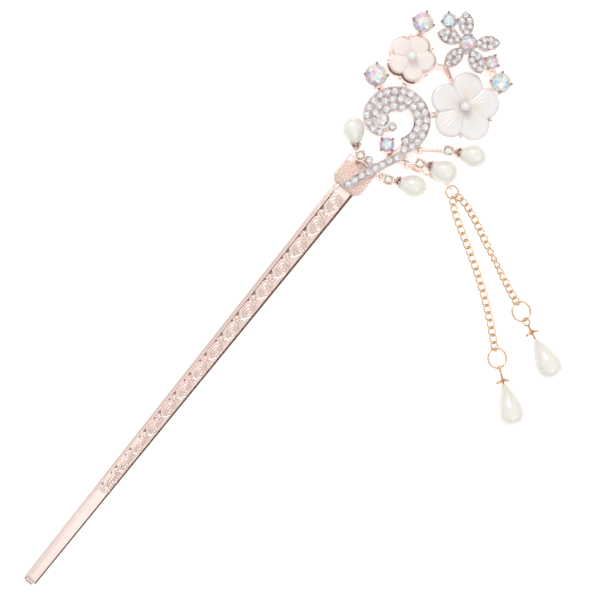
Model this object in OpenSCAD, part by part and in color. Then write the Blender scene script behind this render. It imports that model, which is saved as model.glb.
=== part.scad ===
// A decorative hair pin that lies on its back: a tapered shaft, a head of set stones, shell flowers
// and pearls on an openwork frame, and two curb chains that end in pearl drops.
// +Y runs along the shaft towards the head, +Z is the decorated side, and the origin is in the
// middle of the collar's flat back. Millimetres.

/* [Shaft] */
// Length of the shaft from the collar to the tip
shaft_l = 127.7; // [110:0.1:140]
// Width of the shaft at the collar
shaft_w = 5.9; // [5:0.1:6.5]
// Width of the shaft at the tip
tip_w = 3.6; // [3:0.1:4.5]
// Thickness of the shaft at the collar
shaft_t = 2.4; // [2.1:0.1:2.5]
// Thickness of the shaft at the tip
tip_t = 1.9; // [1.5:0.1:2.1]

/* [Collar] */
// Width of the collar plate
collar_w = 8.8; // [8:0.1:10]
// Length of the collar plate
collar_l = 8; // [7:0.1:8]
// Thickness of the collar plate
collar_t = 2.6; // [2.6:0.1:2.8]

/* [Swirl] */
// Radius of the swirl's outer row of stones
swirl_r = 7.55; // [7.4:0.05:7.7]
// Diameter of a small stone
stone_d = 1.9; // [1.5:0.05:1.92]
// Distance between neighbouring small stones
stone_pitch = 2; // [1.98:0.01:2.2]

/* [Flowers] */
// Outer radius of the small shell flower
small_flower_r = 5.9; // [5.5:0.1:6]
// Outer radius of the large shell flower
large_flower_r = 8.9; // [8.5:0.1:9]
// Length of a leaf petal of the stone-set flower
leaf_l = 6.4; // [6.4:0.1:7]
// Width of a leaf petal
leaf_w = 3.9; // [3.8:0.1:4.2]

/* [Pearls] */
// Length of a branch pearl
branch_pearl_l = 8.4; // [7.5:0.1:8.6]
// Diameter of a branch pearl
branch_pearl_d = 5.8; // [5:0.1:5.8]
// Length of a drop pearl
drop_pearl_l = 11.2; // [9:0.1:12]
// Diameter of a drop pearl
drop_pearl_d = 6.6; // [6:0.1:6.6]

/* [Chains] */
// Diameter of the chain's wire
wire_d = 0.45; // [0.4:0.01:0.46]
// Overall width of a chain link
link_w = 2.2; // [2.1:0.05:2.3]
// Link pitch of the left chain
left_pitch = 1.92; // [1.88:0.01:1.94]
// Link pitch of the right chain
right_pitch = 1.77; // [1.76:0.01:1.82]

/* [Hidden] */
LEFT_GROUPS = 7;
RIGHT_GROUPS = 6;
GROUP = 3;
ROSE = [0.93, 0.74, 0.66];
GOLD = [0.93, 0.78, 0.52];
CLEAR = [0.88, 0.9, 0.93];
OPAL = [0.82, 0.84, 0.95];
PEARL = [0.96, 0.94, 0.87];
SHELL_PINK = [0.98, 0.9, 0.86];
SHELL_WHITE = [0.95, 0.95, 0.95];
round_fn = 40;
tiny_fn = 24;

// Heights of the layers above the surface that the pin lies on
frame_t = 1.2;
band_top = 3.4;
small_pan_z = 1.5;
large_pan_z = 3.4;
leaf_z = 5.7;
pearl_z = 3.9;

// Places in the head, measured from the middle of the collar
swirl_at = [-0.4, 17.5];
hub_at = [1.6, 43.2];
small_flower_at = [-7.2, 32.1];
large_flower_at = [10.9, 30.6];
top_left_at = [-10.45, 40.65];
top_at = [-5.6, 45.2];
left_at = [-11.4, 23];
right_small_at = [9.1, 43.7];
right_large_at = [14.1, 41];
swirl_cup_at = [1.6, 11.2];
leaf_angles = [38, 134, 199, 264, 333];
leaf_tilts = [9, 12, 4, 4, 3];
leaf_mid = 5;
small_petal_turn = 25.75;
large_petal_turn = 48.75;

// The stem of the swirl, from the collar up to where the round band starts
stem_start = [0.2, -2.5];
stem_bend = [3.1, 5.6];
stem_end = [6.6, 12.5];
band_edge = 1.12;

// A branch: foot, cup of the small crystal, tip and end of the pearl
left_foot = [-2.3, 5.1];
left_cup = [-1.9, 4.9];
left_tip = [-3.7, 5.55];
left_turn = 137;
upper_foot = [8.9, 15.6];
upper_cup = [14.5, 19.6];
upper_tip = [15.9, 20.5];
upper_turn = 26;
middle_foot = [8.5, 10.8];
middle_cup = [11, 12.6];
middle_tip = [12.4, 13.5];
middle_turn = 18;
lower_foot = [5.5, 4.2];
lower_cup = [7.4, 4.5];
lower_tip = [8.7, 5.3];
lower_turn = 23.5;
branch_stone_d = 2.3;
peg_d = 0.9;
peg_l = 2.6;
cap_wall = 0.3;
star_r = 1.95;
star_wall = 0.4;
cap_reach = 0.2;

// The eye that the chains hang in, the rings, and the chains' headings
eye_at = [20.4, 13.2];
eye_z = 1.09;
eye_r = 0.8;
eye_wire = 0.5;
top_ring_wire = 0.42;
top_ring_r = 1.6;
top_ring_turn = -21;
top_ring_tilt = 22;
top_ring_z = 0.86;
end_ring_wire = 0.5;
end_ring_r = 2.5;
end_ring_tilt = -17;
end_ring_z = 1.08;
link_rest_z = 0.68;
hook = 0.66;
link_gap = 0.12;
end_gap = 0.38;
left_leave = -46;
left_heading = -22.8;
left_bend = -20.3;
right_leave = 1.5;
right_heading = -30.5;
right_bend = 8.6;
first_roll = -18;
last_roll = 14;
right_twist = -50;
right_twist_at = 10;
left_drop_turn = -38;
right_drop_turn = -25.5;
left_drop_roll = 0;
right_drop_roll = -45;
drop_rise = 11.3;
loop_r = 1;
loop_wire = 0.44;
loop_z = 1.26;
cap_at = 2.1;
left_slack = 1.2;
right_slack = 2.3;

// ---------- plane geometry ----------

function heading(a) = [cos(a), sin(a)];
function across(a) = [-sin(a), cos(a)];
function polar(c, r, a) = c + r * heading(a);

// A round-ended strut between two points of the plane
module strut(p, q, w) {
    turn = atan2(q[1] - p[1], q[0] - p[0]);
    translate(p) rotate(turn) translate([0, -w / 2]) square([norm(q - p), w]);
    for (e = [p, q]) translate(e) circle(d = w, $fn = tiny_fn);
}

// ---------- small stones ----------

// A round stone with its point down, its girdle at z = 0
module stone(d) {
    crown = 0.16 * d;
    pavilion = 0.3 * d;
    girdle = 0.08 * d;
    translate([0, 0, -girdle / 2]) cylinder(h = girdle, d = d, $fn = round_fn);
    translate([0, 0, girdle / 2]) cylinder(h = crown, d1 = d, d2 = 0.58 * d, $fn = round_fn);
    translate([0, 0, -girdle / 2 - pavilion]) cylinder(h = pavilion, d1 = 0.1 * d, d2 = d, $fn = round_fn);
}

// The straight-walled seat that a stone sits in, open to the top
module seat(d) {
    translate([0, 0, -0.36 * d]) cylinder(h = d, d = d, $fn = round_fn);
}

// ---------- shaft and collar ----------

tongue_l = 4;
tongue_w = 4;
tongue_z = 0.5;
tongue_t = 1.4;

// Cross-section of the shaft: wide bevels above, small ones below
module shaft_section(w, t) {
    top_bevel = 0.13 * w;
    foot_bevel = 0.06 * w;
    polygon([
        [-w / 2 + foot_bevel, 0], [w / 2 - foot_bevel, 0], [w / 2, 0.15 * t], [w / 2, 0.45 * t],
        [w / 2 - top_bevel, t], [-w / 2 + top_bevel, t], [-w / 2, 0.45 * t], [-w / 2, 0.15 * t]]);
}

module shaft_slice(y, w, t) {
    translate([0, y, 0]) rotate([90, 0, 0]) linear_extrude(0.02) shaft_section(w, t);
}

module shaft() {
    top_y = -collar_l / 2;
    tip_y = top_y - shaft_l;
    color(ROSE) {
        hull() {
            shaft_slice(top_y, shaft_w, shaft_t);
            shaft_slice(tip_y + 1.2, tip_w, tip_t);
            translate([0, 0, 0.25]) shaft_slice(tip_y + 0.35, tip_w - 1.1, tip_t - 0.6);
            translate([0, 0, 0.6]) shaft_slice(tip_y + 0.02, tip_w - 2, tip_t - 1.2);
        }
        translate([-tongue_w / 2, top_y - 0.02, tongue_z]) cube([tongue_w, tongue_l + 0.02, tongue_t]);
    }
}

module collar_plate() {
    corner = 1.3;
    w = collar_w / 2;
    l = collar_l / 2;
    color(ROSE) difference() {
        linear_extrude(collar_t) polygon([
            [-w + corner, -l], [w - corner, -l], [w, -l + corner], [w, l], [-w, l], [-w, -l + corner]]);
        translate([-tongue_w / 2, -l - 1, tongue_z]) cube([tongue_w, tongue_l + 1, tongue_t]);
    }
}

// ---------- swirl ----------

// Radius of the outer row: round, then curling inwards past the curl's start
curl_start = 200;
curl_end = 268;
function outer_r(a) = a < curl_start ? swirl_r : swirl_r - 5 * pow((a - curl_start) / 80, 1.6);
function row_step(r) = stone_pitch / r * 180 / PI;
row_gap = stone_pitch - 0.05;
band_start = -36;

// Angles of stones a pitch apart along a row
function outer_angles(a) = a > curl_end ? []
    : concat([a], outer_angles(a + stone_pitch / sqrt(pow(outer_r(a), 2) + pow(slope_r(a), 2)) * 180 / PI));
function slope_r(a) = (outer_r(a + 0.5) - outer_r(a - 0.5)) * 180 / PI;
function row_angles(a, last, r) = a > last ? [] : concat([a], row_angles(a + row_step(r), last, r));

outer_row = [for (a = outer_angles(band_start)) polar(swirl_at, outer_r(a), a)];
middle_row = [for (a = row_angles(-26, 214, swirl_r - row_gap)) polar(swirl_at, swirl_r - row_gap, a)];
inner_row = [for (a = row_angles(104, 222, swirl_r - 2 * row_gap)) polar(swirl_at, swirl_r - 2 * row_gap, a)];
curl_fill_at = [-2.95, 14.85];
curl_tip_at = [-0.15, 15.75];
swirl_places = concat(outer_row, middle_row, inner_row, [curl_fill_at, curl_tip_at]);

// The stem is a curve with one control point; its stones are a pitch apart
function stem_at(t) = (1 - t) * (1 - t) * stem_start + 2 * t * (1 - t) * stem_bend + t * t * stem_end;
function stem_times(t) = t > 0.93 ? []
    : concat([t], stem_times(t + stone_pitch / norm(stem_at(t + 0.05) - stem_at(t - 0.05)) * 0.1));
stem_row = [for (t = stem_times(0)) stem_at(t)];
spur_at = [0.4, 5.5];
stem_places = concat(stem_row, [spur_at]);

// Outline of the band: along the outside of the rows and back along the inside
inner_start = 98;
function inner_edge(a) = a < 86 ? swirl_r - row_gap - band_edge
    : a < inner_start ? swirl_r - row_gap * (1 + (a - 86) / (inner_start - 86)) - band_edge
    : a < 225 ? swirl_r - 2 * row_gap - band_edge
    : max(outer_r(a) - band_edge, 0.6);
band_outline = concat(
    [for (a = [band_start:6:curl_end + 2]) polar(swirl_at, outer_r(a) + band_edge, a)],
    [for (a = [curl_end + 2:-6:band_start]) polar(swirl_at, inner_edge(a), a)]);

function stem_side(t, s) = stem_at(t) + s * band_edge * across(stem_turn(t));
function stem_turn(t) = atan2(
    stem_at(t + 0.01)[1] - stem_at(t - 0.01)[1],
    stem_at(t + 0.01)[0] - stem_at(t - 0.01)[0]);
stem_outline = concat(
    [for (t = [-0.05:0.105:1]) stem_side(t, -1)],
    [for (t = [1:-0.105:-0.05]) stem_side(t, 1)]);

module swirl_plan() {
    polygon(band_outline);
    polygon(stem_outline);
    strut(spur_at, stem_at(0.42), 1.2);
    translate(spur_at) circle(r = band_edge, $fn = tiny_fn);
}

module swirl_setting() {
    color(ROSE) difference() {
        translate([0, 0, frame_t]) linear_extrude(band_top - frame_t) {
            swirl_plan();
            strut(outer_row[len(outer_row) - 1], curl_tip_at, 1);
            translate(curl_tip_at) circle(r = band_edge, $fn = tiny_fn);
        }
        translate([-collar_w / 2 - 1, -collar_l / 2 - 1, 0]) cube([collar_w + 2, collar_l + 1, collar_t]);
        for (p = concat(swirl_places, stem_places)) translate([p[0], p[1], band_top]) seat(stone_d);
    }
}

module swirl_stones() {
    color(CLEAR) for (p = swirl_places) translate([p[0], p[1], band_top]) stone(stone_d);
}

module stem_stones() {
    color(CLEAR) for (p = stem_places) translate([p[0], p[1], band_top]) stone(stone_d);
}

// ---------- back frame ----------

module arc_strut(c, r, w, a0, a1) {
    polygon(concat(
        [for (a = [a0:5:a1]) polar(c, r + w / 2, a)],
        [for (a = [a1:-5:a0]) polar(c, r - w / 2, a)]));
}

module back_frame() {
    w = 1.5;
    pad = 1.7;
    small_pad = 1.1;
    join = [0.9, 36];
    color(ROSE) linear_extrude(frame_t) difference() {
        union() {
            arc_strut(swirl_at, 6.6, 2, -40, 235);
            strut([1.5, collar_l / 2 + 0.75], stem_at(0.6), w);
            strut(stem_at(0.6), polar(swirl_at, 6.6, -38), w);
            strut([1.5, collar_l / 2 + 0.75], left_foot, w);
            strut([1.5, collar_l / 2 + 0.75], lower_foot, w);
            strut(stem_at(0.85), middle_foot, w);
            strut(polar(swirl_at, 6.6, -12), upper_foot, w);
            strut(stem_at(0.75), swirl_cup_at, w);
            strut(polar(swirl_at, 6.6, 153), left_at, w);
            strut(polar(swirl_at, 6.6, 115), small_flower_at, w);
            strut(polar(swirl_at, 6.6, 49), large_flower_at, w);
            strut(small_flower_at, top_left_at, w);
            strut(small_flower_at, join, w);
            strut(join, hub_at, w);
            strut(join, large_flower_at, w);
            strut(hub_at, top_at, w);
            strut(hub_at, right_small_at, w);
            strut(right_small_at, right_large_at, w);
            strut(right_large_at, large_flower_at, w);
            for (p = [hub_at, small_flower_at, large_flower_at, top_left_at, top_at, left_at,
                      right_small_at, right_large_at, swirl_cup_at])
                translate(p) circle(r = pad, $fn = round_fn);
            for (p = [left_foot, upper_foot, middle_foot, lower_foot])
                translate(p) circle(r = small_pad, $fn = round_fn);
        }
        translate([-collar_w / 2, -collar_l / 2]) square([collar_w, collar_l]);
    }
}

// A torus of wire, lying flat round z
module wire_ring(r, wire) {
    rotate_extrude($fn = 48) translate([r, 0]) circle(d = wire, $fn = tiny_fn);
}

module hang_loop() {
    bar_t = 0.8;
    bar_z = 0.1;
    bar_w = 1.3;
    neck = eye_at - (eye_r + 0.3) * heading(top_ring_turn);
    color(ROSE) {
        translate([0, 0, bar_z]) linear_extrude(bar_t) {
            difference() {
                strut(middle_foot + [0.9, 0.25], neck, bar_w);
                translate(middle_foot) circle(r = 1.1, $fn = round_fn);
            }
        }
        translate([eye_at[0], eye_at[1], eye_z]) rotate([90, 0, top_ring_turn]) wire_ring(eye_r, eye_wire);
    }
}

// ---------- prong cups and crystals ----------

// Height of the girdle of a crystal over the bottom of its cup
function cup_h(d) = 2 + 0.35 * d;
prong_r = 0.28;

module prong_cup(d, h, turn) {
    wall = 0.3;
    collar_h = 0.36 * d + 0.2;
    prong_h = collar_h + 0.3;
    difference() {
        union() {
            cylinder(h = h - collar_h, r1 = 0.3 * d, r2 = 0.42 * d, $fn = round_fn);
            translate([0, 0, h - collar_h]) cylinder(h = collar_h, r = d / 2 + wall, $fn = round_fn);
            for (k = [0:3]) rotate(turn + 90 * k) translate([d / 2 + 0.8 * wall, 0, h - collar_h + 0.1]) {
                cylinder(h = prong_h, r = prong_r, $fn = tiny_fn);
                translate([0, 0, prong_h]) sphere(r = prong_r, $fn = tiny_fn);
            }
        }
        translate([0, 0, h]) seat(d);
    }
}

module cup_at(p, d, turn) {
    color(ROSE) translate([p[0], p[1], frame_t]) prong_cup(d, cup_h(d), turn);
}

module crystal_at(p, d) {
    color(OPAL) translate([p[0], p[1], frame_t + cup_h(d)]) stone(d);
}

module top_left_cup() { cup_at(top_left_at, 5, 20); }
module top_cup() { cup_at(top_at, 3.7, 45); }
module left_cup() { cup_at(left_at, 5.4, 35); }
module right_small_cup() { cup_at(right_small_at, 3.4, 10); }
module right_large_cup() { cup_at(right_large_at, 4.8, 30); }
module swirl_cup() { cup_at(swirl_cup_at, 3.6, 80); }
module top_left_crystal() { crystal_at(top_left_at, 5); }
module top_crystal() { crystal_at(top_at, 3.7); }
module left_crystal() { crystal_at(left_at, 5.4); }
module right_small_crystal() { crystal_at(right_small_at, 3.4); }
module right_large_crystal() { crystal_at(right_large_at, 4.8); }
module swirl_crystal() { crystal_at(swirl_cup_at, 3.6); }

// ---------- stone-set flower ----------

leaf_t = 1.2;
leaf_stone_d = 1.55;
hub_stone_d = 3.8;
hub_top = 7;
leaf_places = [[-2.1, 0], [-0.79, -0.86], [-0.79, 0.86], [0.79, -0.86], [0.79, 0.86], [2.1, 0]];

// A pointed leaf is what two overlapping discs share
module leaf_plan() {
    r = (pow(leaf_l / 2, 2) + pow(leaf_w / 2, 2)) / leaf_w;
    shift = r - leaf_w / 2;
    intersection() {
        translate([0, shift]) circle(r = r, $fn = 96);
        translate([0, -shift]) circle(r = r, $fn = 96);
    }
}

module on_leaf(k) {
    translate([hub_at[0], hub_at[1], leaf_z]) rotate([0, 0, leaf_angles[k]])
        translate([leaf_mid, 0, 0]) rotate([0, -leaf_tilts[k], 0]) children();
}

module pave_flower_setting() {
    color(ROSE) difference() {
        union() {
            for (k = [0:4]) on_leaf(k) linear_extrude(leaf_t) {
                leaf_plan();
                translate([-leaf_mid + 1.2, -0.55]) square([leaf_mid - 1.2, 1.1]);
            }
            translate([hub_at[0], hub_at[1], frame_t]) cylinder(h = leaf_z - frame_t, r = 1.1, $fn = round_fn);
            translate([hub_at[0], hub_at[1], leaf_z - 0.9]) prong_cup(hub_stone_d, hub_top - leaf_z + 0.9, 15);
        }
        translate([hub_at[0], hub_at[1], hub_top]) seat(hub_stone_d);
        for (k = [0:4]) on_leaf(k) for (p = leaf_places)
            translate([p[0], p[1], leaf_t]) seat(leaf_stone_d);
    }
}

module pave_flower_stones() {
    color(CLEAR) for (k = [0:4]) on_leaf(k) for (p = leaf_places)
        translate([p[0], p[1], leaf_t]) stone(leaf_stone_d);
}

module flower_hub_crystal() {
    color(OPAL) translate([hub_at[0], hub_at[1], hub_top]) stone(hub_stone_d);
}

// ---------- shell flowers ----------

post_r = 0.35;
bead_d = 2.4;

// Five round petals about a middle disc
module petal_plan(r, grow) {
    petal_r = 0.44 * r;
    for (k = [0:4]) rotate(72 * k) translate([r - petal_r, 0]) circle(r = petal_r + grow, $fn = 64);
    circle(r = 0.6 * r, $fn = 64);
}

module shell_flower(p, turn, r, z, t) {
    translate([p[0], p[1], z]) difference() {
        rotate(turn) linear_extrude(t) petal_plan(r, 0);
        translate([0, 0, -1]) cylinder(h = t + 2, r = post_r, $fn = tiny_fn);
    }
}

module flower_bead(p, z) {
    color(PEARL) translate([p[0], p[1], z + bead_d / 2 - 0.08]) difference() {
        sphere(d = bead_d, $fn = round_fn);
        translate([0, 0, -bead_d]) cylinder(h = bead_d + 0.2, r = post_r, $fn = tiny_fn);
        translate([0, 0, -bead_d / 2 - 1 + 0.08]) cylinder(h = 1, r = bead_d, $fn = tiny_fn);
    }
}

small_shell_z = 2.3;
small_shell_t = 3;
large_shell_z = 4.1;
large_shell_t = 1.4;

module small_flower_tray() {
    grow = 0.75;
    rim = 0.35;
    reach = 0.775 * small_flower_r + 1.2;
    claw_h = 2.9;
    color(ROSE) translate([small_flower_at[0], small_flower_at[1], 0]) {
        translate([0, 0, frame_t]) cylinder(h = small_pan_z - frame_t, r = 1.4, $fn = round_fn);
        rotate(small_petal_turn) {
            translate([0, 0, small_pan_z]) linear_extrude(small_shell_z - small_pan_z)
                petal_plan(small_flower_r, grow);
            translate([0, 0, small_shell_z]) linear_extrude(0.5) difference() {
                petal_plan(small_flower_r, grow);
                petal_plan(small_flower_r, grow - rim);
            }
            for (k = [0:4]) rotate(36 + 72 * k) {
                translate([2, -0.45, small_pan_z]) cube([reach - 2, 0.9, 0.6]);
                translate([reach, 0, small_pan_z]) cylinder(h = claw_h, r = prong_r + 0.02, $fn = tiny_fn);
                translate([reach, 0, small_pan_z + claw_h]) sphere(r = prong_r + 0.07, $fn = tiny_fn);
            }
        }
        translate([0, 0, small_pan_z]) cylinder(
            h = small_shell_z + small_shell_t + 1 - small_pan_z, r = post_r, $fn = tiny_fn);
    }
}

module large_flower_tray() {
    reach = 0.775 * large_flower_r + 0.55;
    claw_h = large_shell_z + large_shell_t - large_pan_z;
    color(ROSE) translate([large_flower_at[0], large_flower_at[1], 0]) {
        translate([0, 0, frame_t]) cylinder(h = large_pan_z - frame_t, r = 1.5, $fn = round_fn);
        translate([0, 0, large_pan_z]) cylinder(
            h = large_shell_z - large_pan_z, r = 0.62 * large_flower_r, $fn = 64);
        for (k = [1:4]) rotate(large_petal_turn + 36 + 72 * k) {
            translate([0, -0.45, large_pan_z]) cube([reach, 0.9, large_shell_z - large_pan_z]);
            translate([reach, 0, large_pan_z]) cylinder(h = claw_h, r = prong_r + 0.05, $fn = tiny_fn);
            translate([reach, 0, large_pan_z + claw_h]) sphere(r = prong_r + 0.1, $fn = tiny_fn);
        }
        translate([0, 0, large_pan_z]) cylinder(
            h = large_shell_z + large_shell_t + 1 - large_pan_z, r = post_r, $fn = tiny_fn);
    }
}

module small_shell_flower() {
    color(SHELL_PINK) shell_flower(small_flower_at, small_petal_turn, small_flower_r, small_shell_z, small_shell_t);
}

module large_shell_flower() {
    color(SHELL_WHITE) shell_flower(large_flower_at, large_petal_turn, large_flower_r, large_shell_z, large_shell_t);
}

module small_flower_bead() { flower_bead(small_flower_at, small_shell_z + small_shell_t); }
module large_flower_bead() { flower_bead(large_flower_at, large_shell_z + large_shell_t); }

// ---------- pearls on their branches ----------

// Half-outline of a pearl drop from its narrow tip, u from 0 to 1 along its length
// form is [how far the belly sits from the tip, how slim the tip is]
function drop_r(u, form) = pow(sin(180 * pow(u, form[0])), form[1]);
drop_steps = 18;
branch_form = [1.4, 0.52];
hanging_form = [1.6, 0.6];

module pearl_drop(l, d, form) {
    rotate_extrude($fn = 48) polygon(concat(
        [[0, 0]],
        [for (i = [1:drop_steps - 1]) [d / 2 * drop_r(i / drop_steps, form), l * i / drop_steps]],
        [[0, l]]));
}

// Cup that fits over the tip of a pearl drop
module tip_cap(l, d, wall, form) {
    reach = cap_reach * l;
    start = 0.04 * l;
    steps = 6;
    difference() {
        rotate_extrude($fn = 48) polygon(concat(
            [[0, -0.25]],
            [for (i = [1:steps]) [d / 2 * drop_r(cap_reach * i / steps, form) + wall, reach * i / steps - start]],
            [[0, reach - start]]));
        pearl_drop(l, d, form);
    }
}

// Turns +Z to point along a heading in the plane, tipped up by rise
module lay(p, z, turn, rise) {
    translate([p[0], p[1], z]) rotate([0, -rise, turn]) rotate([0, 90, 0]) children();
}

// A round rod between two points in space
module rod(p, q, d) {
    v = q - p;
    translate(p) rotate([0, acos(v[2] / norm(v)), atan2(v[1], v[0])]) cylinder(h = norm(v), d = d, $fn = tiny_fn);
}

branch_cup_z = 2.9;
branch_stone_z = 4.9;

module pearl_branch(foot, cup, tip, turn) {
    rod_d = 1;
    rod_z = 2.5;
    color(ROSE) {
        translate([foot[0], foot[1], frame_t]) cylinder(h = rod_z - frame_t, r = 0.7, $fn = tiny_fn);
        translate([foot[0], foot[1], rod_z]) sphere(r = 0.7, $fn = tiny_fn);
        difference() {
            union() {
                translate([cup[0], cup[1], branch_cup_z])
                    prong_cup(branch_stone_d, branch_stone_z - branch_cup_z, turn + 45);
                translate([cup[0], cup[1], branch_cup_z - 0.4]) cylinder(h = 0.5, r = 0.8, $fn = tiny_fn);
                rod([foot[0], foot[1], rod_z], [cup[0], cup[1], branch_cup_z + 0.2], rod_d);
                rod([cup[0], cup[1], branch_cup_z + 0.5], [tip[0], tip[1], pearl_z], rod_d);
                lay(tip, pearl_z, turn, 0) tip_cap(branch_pearl_l, branch_pearl_d, cap_wall, branch_form);
            }
            translate([cup[0], cup[1], branch_stone_z]) seat(branch_stone_d);
            lay(tip, pearl_z, turn, 0) pearl_drop(branch_pearl_l, branch_pearl_d, branch_form);
        }
        lay(tip, pearl_z, turn, 0) cylinder(h = peg_l, d = peg_d, $fn = tiny_fn);
    }
}

module branch_pearl(tip, turn) {
    color(PEARL) lay(tip, pearl_z, turn, 0) difference() {
        pearl_drop(branch_pearl_l, branch_pearl_d, branch_form);
        translate([0, 0, -1]) cylinder(h = peg_l + 1, d = peg_d, $fn = tiny_fn);
    }
}

module pearl_branch_left() { pearl_branch(left_foot, left_cup, left_tip, left_turn); }
module pearl_branch_upper() { pearl_branch(upper_foot, upper_cup, upper_tip, upper_turn); }
module pearl_branch_middle() { pearl_branch(middle_foot, middle_cup, middle_tip, middle_turn); }
module pearl_branch_lower() { pearl_branch(lower_foot, lower_cup, lower_tip, lower_turn); }
module branch_pearl_left() { branch_pearl(left_tip, left_turn); }
module branch_pearl_upper() { branch_pearl(upper_tip, upper_turn); }
module branch_pearl_middle() { branch_pearl(middle_tip, middle_turn); }
module branch_pearl_lower() { branch_pearl(lower_tip, lower_turn); }

module branch_crystals() {
    color([0.93, 0.93, 0.7]) for (p = [left_cup, upper_cup, middle_cup, lower_cup])
        translate([p[0], p[1], branch_stone_z]) stone(branch_stone_d);
}

// ---------- chains ----------

top_ring_at = polar(eye_at, top_ring_r, top_ring_turn);

// Half-length of a link's centre line, so that two links hook with a small gap
function link_a(pitch) = (pitch + wire_d + link_gap) / 2;
// Heading of link i: the chain leaves its ring at `leave` and soon turns to its own slow bend
function chain_turn(i, n, way) = way[1] + (way[0] - way[1]) * exp(-i / 2) + way[2] * i / (n - 1);
// Roll of link i: the first and last links roll towards the tilted rings, and a chain may turn on edge
// for a few links about link `at`, sooner on the way in than on the way out
roll_links = 3;
twist_in = 1.8;
twist_out = 4.2;
function link_roll(i, n, twist, at) = first_roll * exp(-i / roll_links)
    + last_roll * exp((i - n + 1) / roll_links)
    + twist * exp(-pow((i - at) / (i < at ? twist_in : twist_out), 2));
// Height of the chain's middle: down from the top ring, along the surface and up to the end ring
settle_rate = 0.35;
edge_lift = 0.35;
function link_z(i, n, from_z, twist, at) = link_rest_z
    + (from_z - link_rest_z) * exp(-settle_rate * (i + 0.6))
    + (end_ring_z - link_rest_z) * exp(-settle_rate * (n - 0.4 - i))
    + edge_lift * abs(sin(twist)) * exp(-pow((i - at - 1) / 4, 2));

function chain_at(i, n, pitch, first, way) = i == 0
    ? first + link_a(pitch) * heading(way[0])
    : chain_at(i - 1, n, pitch, first, way)
        + pitch / 2 * (heading(chain_turn(i - 1, n, way)) + heading(chain_turn(i, n, way)));

// A closed wire link, twisted so that its two ends stand at right angles to each other
module curb_link(pitch) {
    a = link_a(pitch);
    b = (link_w - wire_d) / 2;
    rings = 16;
    sides = 6;
    function mid(t) = [a * cos(t), b * sin(t) * cos(45 * cos(t)), b * sin(t) * sin(45 * cos(t))];
    function unit(v) = v / norm(v);
    function along(t) = unit(mid(t + 1) - mid(t - 1));
    function out(t) = unit(mid(t) - (mid(t) * along(t)) * along(t));
    points = [for (i = [0:rings - 1]) let (t = 360 * i / rings, o = out(t), s = cross(along(t), o))
        for (j = [0:sides - 1]) mid(t) + wire_d / 2 * (cos(60 * j) * o + sin(60 * j) * s)];
    function at(i, j) = (i % rings) * sides + j % sides;
    faces = [for (i = [0:rings - 1]) for (j = [0:sides - 1])
        each [[at(i, j), at(i + 1, j), at(i + 1, j + 1)], [at(i, j), at(i + 1, j + 1), at(i, j + 1)]]];
    polyhedron(points, faces, convexity = 4);
}

module chain_group(k, n, pitch, first, from_z, way, twist, at) {
    color(GOLD) for (i = [GROUP * (k - 1):GROUP * k - 1]) {
        p = chain_at(i, n, pitch, first, way);
        rise = link_z(i + 0.5, n, from_z, twist, at) - link_z(i - 0.5, n, from_z, twist, at);
        translate([p[0], p[1], link_z(i, n, from_z, twist, at)])
            rotate([0, -atan2(rise, pitch), chain_turn(i, n, way)])
                rotate([link_roll(i, n, twist, at), 0, 0]) curb_link(pitch);
    }
}

left_n = GROUP * LEFT_GROUPS;
right_n = GROUP * RIGHT_GROUPS;
left_first = polar(top_ring_at, top_ring_r - hook, left_leave);
right_first = polar(top_ring_at, top_ring_r - hook, right_leave);
left_way = [left_leave, left_heading, left_bend];
right_way = [right_leave, right_heading, right_bend];
left_last = chain_at(left_n - 1, left_n, left_pitch, left_first, left_way);
right_last = chain_at(right_n - 1, right_n, right_pitch, right_first, right_way);
left_hook = polar(left_last, link_a(left_pitch) - hook, left_heading + left_bend);
right_hook = polar(right_last, link_a(right_pitch) - hook, right_heading + right_bend);
left_ring_at = polar(left_hook, end_ring_r, left_drop_turn);
right_ring_at = polar(right_hook, end_ring_r, right_drop_turn);

// Heights of the first links' ends on the tilted top ring
function leave_z(leave) = top_ring_z + (top_ring_r - hook) * sin(leave - top_ring_turn) * sin(top_ring_tilt);

module left_chain(k) {
    chain_group(k, left_n, left_pitch, left_first, leave_z(left_leave), left_way, 0, 0);
}

module right_chain(k) {
    chain_group(
        k, right_n, right_pitch, right_first, leave_z(right_leave), right_way, right_twist, right_twist_at);
}

// A ring of wire that leans on one side, tilted about its own heading
module leaning_ring(p, z, r, wire, turn, tilt) {
    color(GOLD) translate([p[0], p[1], z]) rotate([0, 0, turn]) rotate([tilt, 0, 0]) wire_ring(r, wire);
}

module end_ring(p, turn) { leaning_ring(p, end_ring_z, end_ring_r, end_ring_wire, turn, end_ring_tilt); }
module top_jump_ring() {
    leaning_ring(top_ring_at, top_ring_z, top_ring_r, top_ring_wire, top_ring_turn, top_ring_tilt);
}
module left_end_ring() { end_ring(left_ring_at, left_drop_turn); }
module right_end_ring() { end_ring(right_ring_at, right_drop_turn); }

// ---------- drops at the chains' ends ----------

shank_d = 0.5;
shank_in = 4;

// Puts the drop's own frame at the eye pin's loop, with +Z towards the pearl
module hang(ring_at, turn) {
    loop_at = polar(ring_at, end_ring_r + end_gap, turn);
    lay(loop_at, loop_z, turn, drop_rise) children();
}

module shank(slack) {
    translate([0, 0, loop_r]) cylinder(h = cap_at + slack - loop_r + shank_in, d = shank_d, $fn = tiny_fn);
}

module eye_pin(ring_at, turn, roll, slack) {
    color(GOLD) hang(ring_at, turn) {
        rotate([90, 0, roll]) wire_ring(loop_r, loop_wire);
        shank(slack);
    }
}

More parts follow.
